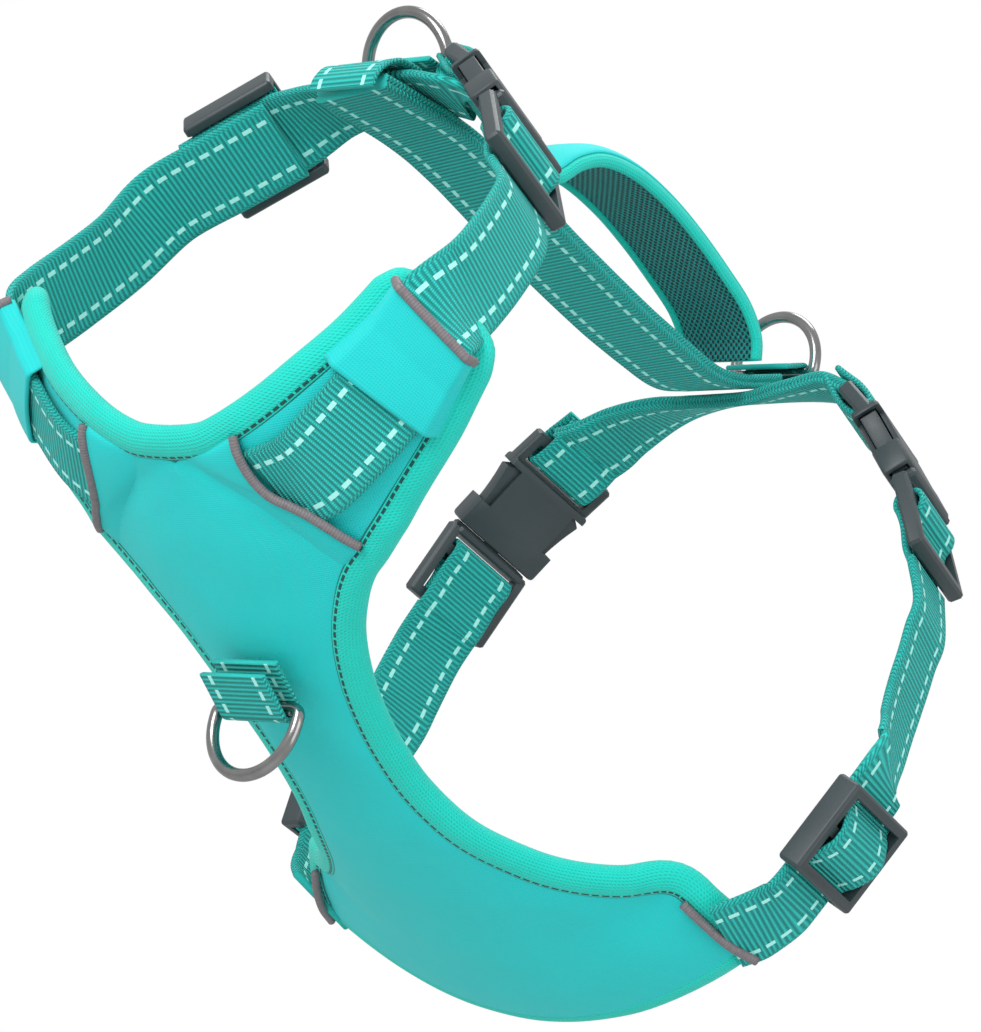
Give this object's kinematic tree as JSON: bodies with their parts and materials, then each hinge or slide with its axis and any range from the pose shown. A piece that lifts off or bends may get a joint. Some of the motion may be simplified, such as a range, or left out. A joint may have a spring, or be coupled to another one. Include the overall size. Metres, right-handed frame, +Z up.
{
  "type": "no pull dog harness",
  "caption": "Padded dog harness with chest plate, webbing straps, squeeze buckles, strap slides, lead rings and a grab handle.",
  "frame": {"origin": "on the dog's back at the withers, where the neck strap crosses the back strap", "axes": "+X to the dog's left, -Y forward to its head, +Z up"},
  "size_m": [0.2051, 0.2291, 0.237],
  "materials": {
    "black_plastic": "moulded acetal, satin",
    "nickel_steel": "bright nickel plated wire",
    "binding_tape": "soft woven tape, turquoise",
    "reflective_piping": "grey reflective piping",
    "air_mesh": "spacer mesh with small round holes",
    "foam": "soft padding foam",
    "shell_fabric": "smooth woven polyester, turquoise",
    "webbing": "ribbed 25 mm webbing with two rows of reflective stitches"
  },
  "bodies": {
    "harness": {"back_strap": "webbing", "belly_hem_binding": "binding_tape", "belly_piping_left": "reflective_piping", "belly_piping_right": "reflective_piping", "chest_plate_foam": "foam", "chest_plate_lining": "air_mesh", "chest_plate_shell": "shell_fabric", "front_ring_tab": "webbing", "girth_buckle_left_socket": "black_plastic", "girth_buckle_right_socket": "black_plastic", "girth_strap_left": "webbing", "girth_strap_left_loop": "webbing", "girth_strap_over": "webbing", "girth_strap_right": "webbing", "girth_strap_right_loop": "webbing", "handle_cover": "shell_fabric", "handle_foam": "foam", "handle_mesh_lining": "air_mesh", "neck_binding": "binding_tape", "neck_buckle_socket": "black_plastic", "neck_strap_left": "webbing", "neck_strap_left_loop": "webbing", "neck_strap_over": "webbing", "neck_strap_right": "webbing", "rear_ring_tab": "webbing", "shoulder_keeper_left": "shell_fabric", "shoulder_keeper_right": "shell_fabric", "shoulder_piping_left": "reflective_piping", "shoulder_piping_right": "reflective_piping", "shoulder_top_piping_left": "reflective_piping", "shoulder_top_piping_right": "reflective_piping", "side_binding_left": "binding_tape", "side_binding_right": "binding_tape", "top_ring_tab": "webbing"},
    "neck_buckle_plug": {"neck_buckle_plug": "black_plastic"},
    "neck_buckle_press_arm_a": {"neck_buckle_press_arm_a": "black_plastic"},
    "neck_buckle_press_arm_b": {"neck_buckle_press_arm_b": "black_plastic"},
    "girth_buckle_left_plug": {"girth_buckle_left_plug": "black_plastic"},
    "girth_buckle_left_press_arm_a": {"girth_buckle_left_press_arm_a": "black_plastic"},
    "girth_buckle_left_press_arm_b": {"girth_buckle_left_press_arm_b": "black_plastic"},
    "girth_buckle_right_plug": {"girth_buckle_right_plug": "black_plastic"},
    "girth_buckle_right_press_arm_a": {"girth_buckle_right_press_arm_a": "black_plastic"},
    "girth_buckle_right_press_arm_b": {"girth_buckle_right_press_arm_b": "black_plastic"},
    "neck_slider": {"neck_slider": "black_plastic", "neck_slider_webbing": "webbing"},
    "girth_slider_left": {"girth_slider_left": "black_plastic", "girth_slider_left_webbing": "webbing"},
    "girth_slider_right": {"girth_slider_right": "black_plastic", "girth_slider_right_webbing": "webbing"},
    "top_d_ring": {"top_d_ring": "nickel_steel"},
    "front_d_ring": {"front_d_ring": "nickel_steel"},
    "rear_d_ring": {"rear_d_ring": "nickel_steel"}
  },
  "joints": [
    {"name": "neck_buckle_release", "type": "slide", "parent": "harness", "child": "neck_buckle_plug", "axis": [0.741, -0.2003, -0.6409], "range_m": [0, 0.02], "deforming": ["neck_strap_left_loop"]},
    {"name": "neck_buckle_press_a", "type": "hinge", "parent": "neck_buckle_plug", "child": "neck_buckle_press_arm_a", "pos_m": [0.05053, -0.01675, -0.01092], "axis": [0.6651, 0.0879, 0.7416], "range_deg": [-9, 0], "stiffness_Nm_per_rad": 0.02},
    {"name": "neck_buckle_press_b", "type": "hinge", "parent": "neck_buckle_plug", "child": "neck_buckle_press_arm_b", "pos_m": [0.05247, 0.00375, -0.01508], "axis": [0.6651, 0.0879, 0.7416], "range_deg": [0, 9], "stiffness_Nm_per_rad": 0.02},
    {"name": "girth_buckle_left_release", "type": "slide", "parent": "harness", "child": "girth_buckle_left_plug", "axis": [0.6713, 0.1202, -0.7314], "range_m": [0, 0.02], "deforming": ["girth_strap_left_loop"]},
    {"name": "girth_buckle_left_press_a", "type": "hinge", "parent": "girth_buckle_left_plug", "child": "girth_buckle_left_press_arm_a", "pos_m": [0.08112, 0.15213, -0.01572], "axis": [0.7249, 0.0992, 0.6816], "range_deg": [-9, 0], "stiffness_Nm_per_rad": 0.02},
    {"name": "girth_buckle_left_press_b", "type": "hinge", "parent": "girth_buckle_left_plug", "child": "girth_buckle_left_press_arm_b", "pos_m": [0.07788, 0.17287, -0.01528], "axis": [0.7249, 0.0992, 0.6816], "range_deg": [0, 9], "stiffness_Nm_per_rad": 0.02},
    {"name": "girth_buckle_right_release", "type": "slide", "parent": "harness", "child": "girth_buckle_right_plug", "axis": [-0.5401, 0.05, -0.8401], "range_m": [0, 0.02], "deforming": ["girth_strap_right_loop"]},
    {"name": "girth_buckle_right_press_a", "type": "hinge", "parent": "girth_buckle_right_plug", "child": "girth_buckle_right_press_arm_a", "pos_m": [-0.07495, 0.17827, -0.03071], "axis": [-0.8187, 0.2003, 0.5382], "range_deg": [-9, 0], "stiffness_Nm_per_rad": 0.02},
    {"name": "girth_buckle_right_press_b", "type": "hinge", "parent": "girth_buckle_right_plug", "child": "girth_buckle_right_press_arm_b", "pos_m": [-0.07905, 0.15773, -0.02929], "axis": [-0.8187, 0.2003, 0.5382], "range_deg": [0, 9], "stiffness_Nm_per_rad": 0.02},
    {"name": "neck_slider_adjust", "type": "slide", "parent": "harness", "child": "neck_slider", "axis": [-0.7817, -0.092, -0.6168], "range_m": [0, 0.004]},
    {"name": "girth_slider_left_adjust", "type": "slide", "parent": "harness", "child": "girth_slider_left", "axis": [-0.4011, 0.0331, -0.9154], "range_m": [-0.003, 0.003]},
    {"name": "girth_slider_right_adjust", "type": "slide", "parent": "harness", "child": "girth_slider_right", "axis": [0.1, 0.023, -0.9947], "range_m": [-0.002, 0.003]},
    {"name": "top_d_ring_swing", "type": "hinge", "parent": "harness", "child": "top_d_ring", "pos_m": [0, -0.0045, 0.011], "axis": [1, 0, 0], "range_deg": [-95, 35]},
    {"name": "front_d_ring_swing", "type": "hinge", "parent": "harness", "child": "front_d_ring", "pos_m": [0, 0.038, -0.1615], "axis": [1, 0, 0], "range_deg": [-75, 60]},
    {"name": "rear_d_ring_swing", "type": "hinge", "parent": "harness", "child": "rear_d_ring", "pos_m": [0, 0.1744, 0.0362], "axis": [1, 0, 0], "range_deg": [-85, 45]}
  ],
  "couplings": [
    {"joint": "neck_buckle_press_a", "follows": "neck_buckle_release", "rad_per_m": -7.6},
    {"joint": "neck_buckle_press_b", "follows": "neck_buckle_release", "rad_per_m": 7.6},
    {"joint": "girth_buckle_left_press_a", "follows": "girth_buckle_left_release", "rad_per_m": -7.6},
    {"joint": "girth_buckle_left_press_b", "follows": "girth_buckle_left_release", "rad_per_m": 7.6},
    {"joint": "girth_buckle_right_press_a", "follows": "girth_buckle_right_release", "rad_per_m": -7.6},
    {"joint": "girth_buckle_right_press_b", "follows": "girth_buckle_right_release", "rad_per_m": 7.6}
  ]
}
